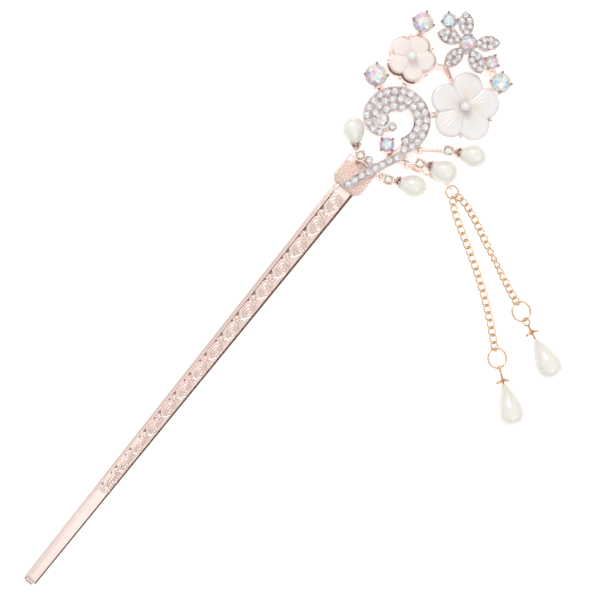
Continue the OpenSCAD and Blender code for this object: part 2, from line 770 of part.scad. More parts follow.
// A dished five-armed star, its arms bent down over the pearl's tip
module star_cap(r, wall) {
    neck = 0.32 * r;
    drop = 0.45 * r;
    intersection() {
        rotate_extrude($fn = 48) polygon([[0, 0], [neck, 0], [r, drop], [r, drop + wall], [neck, wall], [0, wall]]);
        linear_extrude(height = drop + 2 * wall) polygon([
            for (k = [0:9]) let (reach = k % 2 == 1 ? r : 0.5 * r) [reach * cos(36 * k), reach * sin(36 * k)]]);
    }
}

module bead_cap(ring_at, turn) {
    color(GOLD) hang(ring_at, turn) difference() {
        translate([0, 0, cap_at]) star_cap(star_r, star_wall);
        cylinder(h = 2 * cap_at, d = shank_d, $fn = tiny_fn);
    }
}

// Slack is the bare pin between the top of the cap and the pearl's tip
module drop_pearl(ring_at, turn, slack) {
    color(PEARL) hang(ring_at, turn) difference() {
        translate([0, 0, cap_at + slack]) pearl_drop(drop_pearl_l, drop_pearl_d, hanging_form);
        shank(slack);
    }
}

module left_eye_pin() { eye_pin(left_ring_at, left_drop_turn, left_drop_roll, left_slack); }
module left_bead_cap() { bead_cap(left_ring_at, left_drop_turn); }
module left_drop_pearl() { drop_pearl(left_ring_at, left_drop_turn, left_slack); }
module right_eye_pin() { eye_pin(right_ring_at, right_drop_turn, right_drop_roll, right_slack); }
module right_bead_cap() { bead_cap(right_ring_at, right_drop_turn); }
module right_drop_pearl() { drop_pearl(right_ring_at, right_drop_turn, right_slack); }

shaft();
collar_plate();
back_frame();
hang_loop();
swirl_setting();
swirl_stones();
stem_stones();
pave_flower_setting();
pave_flower_stones();
flower_hub_crystal();
small_flower_tray();
small_shell_flower();
small_flower_bead();
large_flower_tray();
large_shell_flower();
large_flower_bead();
top_left_cup();
top_cup();
left_cup();
right_small_cup();
right_large_cup();
swirl_cup();
top_left_crystal();
top_crystal();
left_crystal();
right_small_crystal();
right_large_crystal();
swirl_crystal();
pearl_branch_left();
pearl_branch_upper();
pearl_branch_middle();
pearl_branch_lower();
branch_pearl_left();
branch_pearl_upper();
branch_pearl_middle();
branch_pearl_lower();
branch_crystals();
top_jump_ring();
for (k = [1:LEFT_GROUPS]) left_chain(k);
for (k = [1:RIGHT_GROUPS]) right_chain(k);
left_end_ring();
left_eye_pin();
left_bead_cap();
left_drop_pearl();
right_end_ring();
right_eye_pin();
right_bead_cap();
right_drop_pearl();
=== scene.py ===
from math import atan2, cos, exp, hypot, pi, radians, sin, sqrt

import bmesh
import bpy
import numpy as np
from mathutils import Matrix, Vector, noise


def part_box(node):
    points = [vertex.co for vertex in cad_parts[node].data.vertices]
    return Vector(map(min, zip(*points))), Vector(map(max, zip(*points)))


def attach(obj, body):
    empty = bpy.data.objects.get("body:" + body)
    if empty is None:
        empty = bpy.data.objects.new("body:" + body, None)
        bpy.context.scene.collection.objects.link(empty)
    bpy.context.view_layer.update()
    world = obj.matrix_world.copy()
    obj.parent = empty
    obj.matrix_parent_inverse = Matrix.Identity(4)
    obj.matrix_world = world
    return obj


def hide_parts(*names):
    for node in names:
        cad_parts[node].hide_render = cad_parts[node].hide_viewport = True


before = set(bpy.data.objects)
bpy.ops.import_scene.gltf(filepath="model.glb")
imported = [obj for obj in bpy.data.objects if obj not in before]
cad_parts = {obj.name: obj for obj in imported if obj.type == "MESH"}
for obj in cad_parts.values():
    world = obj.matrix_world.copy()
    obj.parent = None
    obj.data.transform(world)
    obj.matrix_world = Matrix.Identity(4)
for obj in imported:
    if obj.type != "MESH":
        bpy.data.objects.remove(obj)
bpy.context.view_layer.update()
MM = 0.001

# ---- table top, daylight and camera ----
# The hair pin lies on its back on a sheet of white card in a light tent.
# Broad white sides light it evenly, and a darker rim of the room gives polished metal its brown edges.
bpy.ops.object.select_all(action="DESELECT")
bpy.ops.mesh.primitive_plane_add(size=3, location=(0, 0, -0.02 * MM))
card = bpy.context.object
card.name = "white_card"
white = bpy.data.materials.new("white card")
white.use_nodes = True
card_nodes, card_links = white.node_tree.nodes, white.node_tree.links
card_paint = card_nodes["Principled BSDF"]
card_paint.inputs["Roughness"].default_value = 0.9
card_paint.inputs["Specular IOR Level"].default_value = 0.1
card_paint.inputs["Emission Strength"].default_value = 0.72
card_place = card_nodes.new("ShaderNodeTexCoord")
card_fibre = card_nodes.new("ShaderNodeTexNoise")
card_fibre.inputs["Scale"].default_value = 900
card_tone = card_nodes.new("ShaderNodeValToRGB")
card_tone.color_ramp.elements[0].color = (0.8, 0.8, 0.8, 1)
card_tone.color_ramp.elements[1].color = (0.83, 0.83, 0.83, 1)
card_links.new(card_place.outputs["Object"], card_fibre.inputs["Vector"])
card_links.new(card_fibre.outputs["Fac"], card_tone.inputs["Fac"])
card_links.new(card_tone.outputs["Color"], card_paint.inputs["Base Color"])
card_links.new(card_tone.outputs["Color"], card_paint.inputs["Emission Color"])
card.data.materials.append(white)

tent = bpy.data.worlds.new("light tent")
bpy.context.scene.world = tent
tent.use_nodes = True
sky_nodes, sky_links = tent.node_tree.nodes, tent.node_tree.links
sky_way = sky_nodes.new("ShaderNodeTexCoord")
sky_split = sky_nodes.new("ShaderNodeSeparateXYZ")
sky_ramp = sky_nodes.new("ShaderNodeValToRGB")
sky_tones = [(0.0, (0.08, 0.045, 0.03)), (0.22, (0.1, 0.06, 0.045)), (0.34, (0.45, 0.4, 0.38)),
             (0.5, (1, 0.99, 0.98)), (0.8, (0.95, 0.94, 0.93)), (0.9, (0.6, 0.56, 0.54)),
             (0.96, (1.25, 1.24, 1.23))]
while len(sky_ramp.color_ramp.elements) < len(sky_tones):
    sky_ramp.color_ramp.elements.new(0.5)
for stop, (height, tone) in zip(sky_ramp.color_ramp.elements, sky_tones):
    stop.position, stop.color = height, (*tone, 1)
sky_links.new(sky_way.outputs["Generated"], sky_split.inputs[0])
sky_links.new(sky_split.outputs["Z"], sky_ramp.inputs["Fac"])
sky_links.new(sky_ramp.outputs["Color"], sky_nodes["Background"].inputs["Color"])
sky_nodes["Background"].inputs["Strength"].default_value = 0.86


PANEL_AIM = (10, -30, 0)


def panel_light(name, at, size, power):
    """A soft square light that faces the middle of the pin; millimetres."""
    bpy.ops.object.light_add(type="AREA", location=[v * MM for v in at])
    light = bpy.context.object
    light.name = name
    light.data.size = size * MM
    light.data.energy = power
    light.rotation_euler = (Vector(PANEL_AIM) - Vector(at)).to_track_quat("-Z", "Y").to_euler()


panel_light("key_panel", (-420, 260, 560), 260, 1.4)
panel_light("fill_panel", (420, -160, 520), 340, 0.5)

bpy.ops.object.camera_add(location=(8.6 * MM, -32.7 * MM, 330 * MM), rotation=(0, 0, radians(38.75)))
camera = bpy.context.object
camera.data.sensor_width = 36
camera.data.lens = 78.3
camera.data.clip_start = 0.01
bpy.context.scene.camera = camera
bpy.context.scene.view_settings.view_transform = "Standard"

# ---- shaft ----
# Cast alloy blade plated in rose gold: a smooth bevel, a raised ridge, a sunk field of scrollwork
# and a narrow bevelled edge, which run out into the plain polished point.
TOP_Y = -4
TIP_Y = -131.7
FIELD_END = -101.8
TOP_WIDTH, TIP_WIDTH = 5.9, 3.6
TOP_THICK, TIP_THICK = 2.4, 1.9
POINT_LENGTH = 1.7
FIELD_DEPTH = 0.34
STATIONS = 180


def only(*pieces):
    bpy.ops.object.select_all(action="DESELECT")
    for piece in pieces:
        piece.select_set(True)
    bpy.context.view_layer.objects.active = pieces[0]


def finish_mesh(piece, angle=35):
    """Points the faces outwards and smooths all but the hard edges."""
    only(piece)
    bpy.ops.object.mode_set(mode="EDIT")
    bpy.ops.mesh.select_all(action="SELECT")
    bpy.ops.mesh.normals_make_consistent(inside=False)
    bpy.ops.object.mode_set(mode="OBJECT")
    bpy.ops.object.shade_smooth_by_angle(angle=radians(angle))


def settle(piece):
    """Puts the piece's place, turn and size into its mesh."""
    only(piece)
    bpy.ops.object.transform_apply(location=True, rotation=True, scale=True)


def join(name, pieces):
    only(*pieces)
    if len(pieces) > 1:
        bpy.ops.object.join()
    whole = bpy.context.object
    whole.name = name
    return whole


def hand_over(piece, body, finish, *nodes):
    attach(piece, body)
    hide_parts(*nodes)


def make_handling_group():
    """Fine polishing marks and cloudy thin spots of a plated or polished surface."""
    group = bpy.data.node_groups.new("polish and handling", "ShaderNodeTree")
    for name, start in (("Cloud Scale", 300), ("Mark Scale", 2500)):
        group.interface.new_socket(name, in_out="INPUT", socket_type="NodeSocketFloat").default_value = start
    for name in ("Shade One", "Shade Two"):
        group.interface.new_socket(name, in_out="INPUT", socket_type="NodeSocketColor")
    for name, start in (("Smooth", 0.1), ("Dull", 0.3)):
        group.interface.new_socket(name, in_out="INPUT", socket_type="NodeSocketFloat").default_value = start
    group.interface.new_socket("Color", in_out="OUTPUT", socket_type="NodeSocketColor")
    group.interface.new_socket("Roughness", in_out="OUTPUT", socket_type="NodeSocketFloat")
    group.interface.new_socket("Height", in_out="OUTPUT", socket_type="NodeSocketFloat")
    nodes, links = group.nodes, group.links
    given, out = nodes.new("NodeGroupInput"), nodes.new("NodeGroupOutput")
    place = nodes.new("ShaderNodeTexCoord")
    cloud, mark = nodes.new("ShaderNodeTexNoise"), nodes.new("ShaderNodeTexNoise")
    cloud.inputs["Detail"].default_value = 3
    mark.inputs["Detail"].default_value = 5
    links.new(given.outputs["Cloud Scale"], cloud.inputs["Scale"])
    links.new(given.outputs["Mark Scale"], mark.inputs["Scale"])
    for tex in (cloud, mark):
        links.new(place.outputs["Object"], tex.inputs["Vector"])
    shade = nodes.new("ShaderNodeMix")
    shade.data_type = "RGBA"
    links.new(cloud.outputs["Fac"], shade.inputs["Factor"])
    links.new(given.outputs["Shade One"], shade.inputs["A"])
    links.new(given.outputs["Shade Two"], shade.inputs["B"])
    links.new(shade.outputs["Result"], out.inputs["Color"])
    gloss = nodes.new("ShaderNodeMapRange")
    gloss.inputs["From Min"].default_value = 0.3
    gloss.inputs["From Max"].default_value = 0.7
    links.new(mark.outputs["Fac"], gloss.inputs["Value"])
    links.new(given.outputs["Smooth"], gloss.inputs["To Min"])
    links.new(given.outputs["Dull"], gloss.inputs["To Max"])
    links.new(gloss.outputs["Result"], out.inputs["Roughness"])
    links.new(mark.outputs["Fac"], out.inputs["Height"])
    return group


handling = make_handling_group()


def surface(name, one, two, smooth, dull, metallic=0.0, coat=0.0, bump=0.02, cloud=300, mark=2500):
    """A material with two close shades and uneven polish, both from the shared group."""
    made = bpy.data.materials.new(name)
    made.use_nodes = True
    nodes, links = made.node_tree.nodes, made.node_tree.links
    paint = nodes["Principled BSDF"]
    worn = nodes.new("ShaderNodeGroup")
    worn.name = "polish"
    worn.node_tree = handling
    worn.inputs["Cloud Scale"].default_value = cloud
    worn.inputs["Mark Scale"].default_value = mark
    worn.inputs["Shade One"].default_value = (*one, 1)
    worn.inputs["Shade Two"].default_value = (*two, 1)
    worn.inputs["Smooth"].default_value = smooth
    worn.inputs["Dull"].default_value = dull
    paint.inputs["Metallic"].default_value = metallic
    paint.inputs["Coat Weight"].default_value = coat
    paint.inputs["Coat Roughness"].default_value = 0.06
    raised = nodes.new("ShaderNodeBump")
    raised.inputs["Strength"].default_value = bump
    raised.inputs["Distance"].default_value = 0.05 * MM
    links.new(worn.outputs["Color"], paint.inputs["Base Color"])
    links.new(worn.outputs["Roughness"], paint.inputs["Roughness"])
    links.new(worn.outputs["Height"], raised.inputs["Height"])
    links.new(raised.outputs["Normal"], paint.inputs["Normal"])
    return made


rose_plate = surface("rose gold plate", (1, 0.87, 0.82), (0.98, 0.8, 0.74), 0.1, 0.22, metallic=1)
# Painted shade: a darker rose gold for the floors of the hollows, standing in for the shade that falls in
# them.
shaded_hollow_plate = surface(
    "rose gold with painted shade in the hollows", (0.76, 0.6, 0.54), (0.88, 0.74, 0.68), 0.16, 0.34, metallic=1)
# Painted shadow: a dark, dull rose gold for the wedges in the scrolls' cuts, standing in for the shade down
# in them.
pit_shadow_plate = surface(
    "dark rose gold as painted shadow in the cuts", (0.34, 0.22, 0.18), (0.46, 0.32, 0.27), 0.4, 0.7, metallic=0.6)


def blade_at(y):
    """Width and thickness of the shaft at y, with its point rounded off."""
    along = min(max((TOP_Y - y) / (TOP_Y - TIP_Y), 0), 1)
    width = TOP_WIDTH + (TIP_WIDTH - TOP_WIDTH) * along
    thick = TOP_THICK + (TIP_THICK - TOP_THICK) * along
    left = y - TIP_Y
    if left < POINT_LENGTH:
        round_off = sqrt(max(1 - ((POINT_LENGTH - left) / POINT_LENGTH) ** 2, 0))
        width *= 0.12 + 0.88 * round_off
        thick *= 0.5 + 0.5 * round_off
    return width, thick


def blade_section(y):
    """Outline of the shaft at y, from its right side over the top to its left side and back below.

    The field sinks in between the ridge and the edge, and rises again before the plain point.
    """
    width, t = blade_at(y)
    h, s = width / 2, width / TOP_WIDTH
    sink = FIELD_DEPTH * min(max((y - FIELD_END) / 1.5, 0), 1) * min(max((TOP_Y - 0.3 - y) / 0.5, 0), 1)
    ridge = sink * 0.5
    right, left = h - 0.74 * s, -h + 1.62 * s
    crown = 0.14 * (1 - sink / FIELD_DEPTH) * s
    flutes = (0, 0.75, 0.45, 0.85, 0.5, 0.1)
    field = [(right + (left - right) * k / 5, t - sink + crown * flutes[k]) for k in range(6)]
    return [
        (h, 0.3), (h, t - 0.58 * s), (h - 0.02 * s, t - 0.5 * s), (h - 0.58 * s, t - 0.09 * s),
        (h - 0.66 * s, t), *field,
        (-h + 1.5 * s, t + ridge * 0.3), (-h + 1.36 * s, t + ridge), (-h + 1.2 * s, t + ridge * 0.4),
        (-h + 1.1 * s, t - 0.08 * s), (-h + 0.16 * s, t - 0.34 * s), (-h, t - 0.6 * s), (-h, 0.3),
        (-h + 0.1, 0.1), (-h + 0.3, 0), (0, 0), (h - 0.3, 0), (h - 0.1, 0.1)]


outline_count = len(blade_section(TOP_Y))
bpy.ops.object.select_all(action="DESELECT")
bpy.ops.mesh.primitive_cylinder_add(
    vertices=outline_count, radius=3 * MM, depth=2 * MM, end_fill_type="NGON", rotation=(pi / 2, 0, 0))
shaft = bpy.context.object
settle(shaft)
bpy.ops.object.mode_set(mode="EDIT")
shaft_mesh = bmesh.from_edit_mesh(shaft.data)
for edge in shaft_mesh.edges:
    edge.select = abs(edge.verts[0].co.y - edge.verts[1].co.y) > MM
bpy.ops.mesh.subdivide(number_cuts=STATIONS)
bpy.ops.object.mode_set(mode="OBJECT")
for point in shaft.data.vertices:
    turn = atan2(point.co.z, point.co.x) / (2 * pi) * outline_count
    along = (1 - point.co.y / MM) / 2
    along = 1 - max(1 - along, 0) ** 1.5
    y = TOP_Y + (TIP_Y - TOP_Y) * along
    x, z = blade_section(y)[round(turn) % outline_count]
    point.co = (x * MM, y * MM, z * MM)
shaft.data.materials.append(rose_plate)
shaft.data.materials.append(shaded_hollow_plate)
# Painted shade: the faces of the sunk field's floor take the darker plate, for the shade between the ridge,
# the edge and the scrolls.
for face in shaft.data.polygons:
    x, y, z = face.center / MM
    width, thick = blade_at(y)
    if face.normal.z > 0.5 and thick - 0.4 < z < thick - 0.2 and FIELD_END + 1 < y < -5 \
            and -width / 2 + 1.5 < x < width / 2 - 0.5:
        face.material_index = 1
finish_mesh(shaft, 30)
shaft.name = "shaft_blade"
hand_over(shaft, "pin", "rose_gold", "shaft")


# ---- scrollwork on the shaft ----
# The same casting: fifteen S-scrolls stand up from the sunk field, each a large coil with a small
# one below. They touch the ridge and the edge and get smaller towards the point.
SCROLLS = 15
SCROLL_LENGTH, LENGTH_LOST = 7.2, 1.6
SCROLL_WIRE = 0.4
FIELD_LEFT = 1.56


def wire_piece(name, points, thick, taper=None):
    """A round wire through the points, as a mesh; millimetres."""
    curve = bpy.data.curves.new(name, "CURVE")
    curve.dimensions = "3D"
    curve.bevel_depth = thick / 2 * MM
    curve.bevel_resolution = 3
    curve.use_fill_caps = True
    line = curve.splines.new("POLY")
    line.points.add(len(points) - 1)
    for k, p in enumerate(points):
        line.points[k].co = (p[0] * MM, p[1] * MM, p[2] * MM, 1)
        line.points[k].radius = taper(k / (len(points) - 1)) if taper else 1
    piece = bpy.data.objects.new(name, curve)
    bpy.context.collection.objects.link(piece)
    only(piece)
    bpy.ops.object.convert(target="MESH")
    piece = bpy.context.object
    piece.data.shade_smooth()
    return piece


def spiral(centre, start, turns, inner, outer, steps):
    """Points of a coil that opens out a little faster near its middle; millimetres and degrees."""
    points = []
    for k in range(steps + 1):
        reach = inner + (outer - inner) * (k / steps) ** 0.85
        angle = radians(start) + 2 * pi * turns * k / steps
        points.append((centre[0] + reach * cos(angle), centre[1] + reach * sin(angle)))
    return points


def bend(p0, p1, p2, p3, steps):
    """Points of a smooth curve from p0 to p3 that leans towards p1 and p2, without its ends."""
    return [tuple((1 - t) ** 3 * a + 3 * t * (1 - t) ** 2 * b + 3 * t * t * (1 - t) * c + t ** 3 * d
                  for a, b, c, d in zip(p0, p1, p2, p3)) for t in [k / steps for k in range(1, steps)]]


def oval_coil(centre, start, turns, inner, outer, steps, stretch):
    """A spiral drawn out along the shaft."""
    return [(x, centre[1] + (y - centre[1]) * stretch)
            for x, y in spiral(centre, start, turns, inner, outer, steps)]


# One S-scroll in a field 3.7 wide and 7.2 long: a drawn-out coil, its tail and a small coil, with
# two lines that follow the big coil round and a leaf between it and the edge
big_coil = oval_coil((2.15, -2.3), 0, 1.75, 0.2, 1.62, 50, 1.25)
small_coil = oval_coil((1.05, -6.1), 110, -1.25, 0.12, 0.62, 22, 1.1)[::-1]
scroll_line = big_coil + bend(big_coil[-1], (3.3, -4.9), (1.9, -4.9), small_coil[0], 8) + small_coil
outer_line = bend((0.25, -1.2), (0.5, 0.9), (3.4, 0.6), (3.62, -2.4), 16)
lower_line = bend((3.62, -2.6), (3.6, -4.6), (1.5, -5.0), (1.95, -7.1), 16)
leaf_line = bend((3.3, -4.6), (2.7, -5.0), (2.5, -5.7), (2.7, -7.0), 12)
eye_line = bend((1.9, -1.6), (2.9, -1.3), (2.9, -3.1), (2.0, -3.2), 10)
PIT = ((0.05, -4.2), (0.75, -4.9), (0.05, -5.5))
PIT_LOW = ((0.05, -6.9), (0.5, -7.1), (0.05, -7.6))


def on_field(line, start_y, pitch, sunk):
    """The points of one scroll's line, laid on the field and narrowed with it; millimetres."""
    placed = []
    for x, y in line:
        at_y = start_y + y * pitch / SCROLL_LENGTH
        width, thick = blade_at(at_y)
        placed.append((-width / 2 + (FIELD_LEFT + x) * width / TOP_WIDTH, at_y, thick - sunk))
    return placed


def coil_taper(u):
    return 1.2 - 0.5 * abs(u - 0.45)


def line_taper(u):
    return 0.55 + 0.45 * sin(pi * u)


scroll_wires = []
scroll_y = -6.2
pits = []
for k in range(SCROLLS):
    pitch = SCROLL_LENGTH - LENGTH_LOST * k / (SCROLLS - 1)
    for number, line in enumerate((scroll_line, outer_line, lower_line, leaf_line, eye_line)):
        scroll_wires.append(wire_piece(
            f"scroll_{k}_{number}", on_field(line, scroll_y, pitch, 0.16), SCROLL_WIRE,
            taper=line_taper if number else coil_taper))
    pits += [on_field(corners, scroll_y, pitch, 0.22) for corners in (PIT, PIT_LOW)]
    scroll_y -= pitch - (0.0 if k else 0.2)
end_width, end_thick = blade_at(FIELD_END + 0.6)
end_loop = [(0.25 - (end_width / 2 - 0.85) * cos(radians(a)), FIELD_END + 1.6 - 1.3 * sin(radians(a)),
             end_thick - 0.1) for a in range(0, 181, 12)]
scroll_wires.append(wire_piece("scroll_end", end_loop, 0.6))
scrollwork = join("shaft_scrollwork", scroll_wires)
scrollwork.data.materials.clear()
scrollwork.data.materials.append(rose_plate)
hand_over(scrollwork, "pin", "rose_gold", "shaft")
# Painted shadow: a dark wedge sits in each of the scroll's two cuts, standing in for the shade down in them.
PIT_DEPTH = 0.2
pit_mesh = bpy.data.meshes.new("scroll_pit_shadows")
pit_mesh.from_pydata(
    [(x * MM, y * MM, (z - lower) * MM) for ring in pits for lower in (0, PIT_DEPTH) for x, y, z in ring], [],
    [tuple(6 * k + v for v in f) for k in range(len(pits))
     for f in ((2, 1, 0), (3, 4, 5), (0, 1, 4, 3), (1, 2, 5, 4), (2, 0, 3, 5))])
pit_piece = bpy.data.objects.new("scroll_pit_shadows", pit_mesh)
bpy.context.collection.objects.link(pit_piece)
finish_mesh(pit_piece)
pit_mesh.materials.append(pit_shadow_plate)
hand_over(pit_piece, "pin", "rose_gold", "shaft")

# ---- collar ----
# A cast plate over the shaft's tongue, soldered on, with a granulated face between reeded edges.
# The grains and reeds are raised on its top.
COLLAR_TOP = 2.6
GRAIN_STEP = 0.7
GRAIN_ROWS, GRAIN_COLUMNS = 8, 12


def copy_of(node, name, bevel=0.0, fatten=0.0, smooth=0, angle=35):
    """One solid as a clean closed mesh, its doubles merged and its edges eased."""
    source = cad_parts[node]
    piece = bpy.data.objects.new(name, source.data.copy())
    bpy.context.collection.objects.link(piece)
    only(piece)
    bpy.ops.object.mode_set(mode="EDIT")
    bpy.ops.mesh.select_all(action="SELECT")
    bpy.ops.mesh.remove_doubles(threshold=0.002 * MM)
    if fatten:
        bpy.ops.mesh.tris_convert_to_quads(face_threshold=radians(60), shape_threshold=radians(180))
        bpy.ops.mesh.normals_make_consistent(inside=False)
        bpy.ops.transform.shrink_fatten(value=fatten * MM)
    elif not smooth:
        bpy.ops.mesh.dissolve_limited(angle_limit=radians(0.5))
    bpy.ops.object.mode_set(mode="OBJECT")
    if bevel:
        eased = piece.modifiers.new("eased edges", "BEVEL")
        eased.width = bevel * MM
        eased.segments = 2
        eased.limit_method = "ANGLE"
        eased.angle_limit = radians(50)
        bpy.ops.object.modifier_apply(modifier=eased.name)
    if smooth:
        rounder = piece.modifiers.new("rounder", "SUBSURF")
        rounder.levels = rounder.render_levels = smooth
        bpy.ops.object.modifier_apply(modifier=rounder.name)
    bpy.ops.object.shade_smooth_by_angle(angle=radians(180 if smooth else angle))
    piece.data.materials.clear()
    return piece


def beads(name, places, radius, material, rings=2):
    """Small balls soldered or raised at the places, all one mesh; millimetres."""
    bpy.ops.object.select_all(action="DESELECT")
    bpy.ops.mesh.primitive_ico_sphere_add(subdivisions=rings, radius=radius * MM)
    model = bpy.context.object
    ball = np.array([v.co for v in model.data.vertices])
    faces = [tuple(f.vertices) for f in model.data.polygons]
    bpy.data.objects.remove(model)
    points, every = [], []
    for k, p in enumerate(places):
        points += [tuple(q) for q in ball + np.array(p) * MM]
        every += [tuple(v + k * len(ball) for v in f) for f in faces]
    mesh = bpy.data.meshes.new(name)
    mesh.from_pydata(points, [], every)
    mesh.shade_smooth()
    piece = bpy.data.objects.new(name, mesh)
    bpy.context.collection.objects.link(piece)
    mesh.materials.append(material)
    return piece


collar = copy_of("collar_plate", "collar_body", bevel=0.3)
collar.data.materials.append(rose_plate)
collar.data.materials.append(shaded_hollow_plate)
# Painted shade: the upward faces of the plate take the darker plate, for the shade that falls between the
# grains and reeds.
for face in collar.data.polygons:
    face.material_index = int(face.normal.z > 0.9)
grains = []
for row in range(GRAIN_ROWS):
    for column in range(GRAIN_COLUMNS):
        x = (column - 5.5 + 0.5 * (row % 2)) * GRAIN_STEP
        y = -2.1 + row * GRAIN_STEP * 0.88
        if abs(x) < 3.9 and y < 3.7:
            grains.append((x, y, COLLAR_TOP - 0.06))
grain_piece = beads("collar_grains", grains, 0.36, rose_plate)
REED, REED_Z = 0.5, COLLAR_TOP - 0.08
reeds = [wire_piece(f"collar_reed_{k}", [(-half, y, REED_Z), (half, y, REED_Z)], REED)
         for k, (y, half) in enumerate(((-3.35, 3.65), (-2.8, 3.9)))]
reeds += [wire_piece(f"collar_side_{k}", [(x, -2.6, REED_Z), (x, 3.8, REED_Z)], REED)
          for k, x in enumerate((-4.1, 4.1))]
for reed in reeds:
    reed.data.materials.clear()
    reed.data.materials.append(rose_plate)
collar = join("collar", [collar, grain_piece, *reeds])
hand_over(collar, "pin", "rose_gold", "collar_plate")

# ---- back frame and hanging loop ----
# One openwork casting carries every setting; its struts are eased by polishing.
# A round eye on a short bar is soldered to it for the chains.
for node, name, ease in (("back_frame", "openwork_frame", 0.22), ("hang_loop", "chain_eye", 0.0)):
    casting = copy_of(node, name, bevel=ease)
    casting.data.materials.append(rose_plate)
    hand_over(casting, "pin", "rose_gold", node)

# ---- swirl setting ----
# A cast channel in the shape of a curling stem.
# Each stone is held by small raised beads between the seats.
silver_edge = surface("darkened bead setting", (0.84, 0.72, 0.68), (0.5, 0.4, 0.37), 0.12, 0.3, metallic=1)


def stones_in(node):
    """Centre of the table, axis and diameter of every loose stone in a node; metres."""
    shape = bmesh.new()
    shape.from_mesh(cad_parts[node].data)
    bmesh.ops.remove_doubles(shape, verts=shape.verts, dist=0.002 * MM)
    shape.verts.ensure_lookup_table()
    seen, found = set(), []
    for start in shape.verts:
        if start.index in seen:
            continue
        island, queue = [], [start]
        seen.add(start.index)
        while queue:
            point = queue.pop()
            island.append(point)
            for edge in point.link_edges:
                other = edge.other_vert(point)
                if other.index not in seen:
                    seen.add(other.index)
                    queue.append(other)
        flats = list(dict.fromkeys(f for v in island for f in v.link_faces if f.normal.z > 0.95))
        axis = sum((f.normal * f.calc_area() for f in flats), Vector()).normalized()
        rim = list(dict.fromkeys(v for f in flats for v in f.verts))
        table = sum((v.co for v in rim), Vector()) / len(rim)
        reach = max(((v.co - table) - axis * axis.dot(v.co - table)).length for v in island)
        found.append((table, axis, 2 * reach))
    shape.free()
    return found


CLAW_Z = 3.47
swirl = copy_of("swirl_setting", "swirl_channel")
swirl.data.materials.append(silver_edge)
swirl_stones = stones_in("swirl_stones")
stem_stones = stones_in("stem_stones")
held = [s[0] / MM for s in swirl_stones + stem_stones]
claws = []
for i, a in enumerate(held):
    for b in held[i + 1:]:
        gap = (b - a).xy
        if 0.5 < gap.length < 2.35:
            side = Vector((-gap.y, gap.x)).normalized()
            for s in (-0.68, 0.68):
                spot = (a.xy + b.xy) / 2 + side * s
                clear = min((c.xy - spot).length for c in held)
                if clear > 0.85 and all((Vector(c[:2]) - spot).length > 0.42 for c in claws):
                    claws.append((spot.x, spot.y, CLAW_Z))
swirl_claws = beads("swirl_claws", claws, 0.25, silver_edge)
swirl = join("swirl_setting_with_claws", [swirl, swirl_claws])
hand_over(swirl, "pin", "rose_gold", "swirl_setting")

# ---- faceted stones ----
# Machine-cut glass with a foiled back: eight-sided table, star, kites and girdle facets.
# Each facet's reflection of the foil and the room is painted into its colour as a bright, grey or dark tone
# of its own.


def cut_stone():
    """One stone of diameter 1 with its table at z = 0, as points, facets and the facets' rings."""
    bpy.ops.object.select_all(action="DESELECT")
    bpy.ops.mesh.primitive_circle_add(vertices=8, radius=0.29, fill_type="NGON")
    model = bpy.context.object
    bpy.ops.object.mode_set(mode="EDIT")
    for count, radius, z, turn in (
            (8, 0.42, -0.085, 22.5), (16, 0.5, -0.16, 0), (16, 0.5, -0.22, 0), (8, 0.08, -0.48, 0)):
        bpy.ops.mesh.primitive_circle_add(
            vertices=count, radius=radius, location=(0, 0, z), rotation=(0, 0, radians(turn)),
            fill_type="NOTHING")
    bpy.ops.mesh.select_all(action="SELECT")
    bpy.ops.mesh.convex_hull()
    bpy.ops.mesh.select_all(action="SELECT")
    bpy.ops.mesh.dissolve_limited(angle_limit=radians(1))
    bpy.ops.mesh.normals_make_consistent(inside=False)
    bpy.ops.mesh.select_all(action="DESELECT")
    cut = bmesh.from_edit_mesh(model.data)
    for face in cut.faces:
        face.select = face.normal.z > 0.99
    bpy.ops.mesh.poke(offset=0.0)
    bpy.ops.object.mode_set(mode="OBJECT")
    points = np.array([v.co for v in model.data.vertices])
    facets = [(tuple(f.vertices), f.normal.z, atan2(f.center.y, f.center.x)) for f in model.data.polygons]
    bpy.data.objects.remove(model)
    return points, facets


stone_points, stone_facets = cut_stone()


def facet_ring(slope):
    """Which ring a facet belongs to: table, star, kites or everything below."""
    return 0 if slope > 0.99 else 1 if slope > 0.82 else 2 if slope > 0.3 else 3


def set_stones(name, stones, tints_and_reflections, material, seed):
    """Cut stones at the given places, with one list of colours for each ring of facets: the glass's tint and
    its painted facet reflections.
    """
    points, faces, facet_reflections = [], [], []
    for number, (table, axis, size) in enumerate(stones):
        turn = (axis.to_track_quat("Z", "Y").to_matrix()
                @ Matrix.Rotation(radians(37 * (number + seed)), 3, "Z"))
        base = len(points)
        points += [table + turn @ Vector(p) * size for p in stone_points]
        for face, slope, angle in stone_facets:
            faces.append([base + v for v in face])
            ring = facet_ring(slope)
            choice = tints_and_reflections[ring]
            step = round(angle / (pi / 8)) + 3 * ring + 5 * (number + seed)
            facet_reflections.append(choice[(step * 7 + step // 3) % len(choice)])
    mesh = bpy.data.meshes.new(name)
    mesh.from_pydata(points, [], faces)
    tone = mesh.color_attributes.new("facet", "FLOAT_COLOR", "CORNER")
    for face, shade in zip(mesh.polygons, facet_reflections):
        for corner in face.loop_indices:
            tone.data[corner].color = (*shade, 1)
    mesh.materials.append(material)
    piece = bpy.data.objects.new(name, mesh)
    bpy.context.collection.objects.link(piece)
    return piece


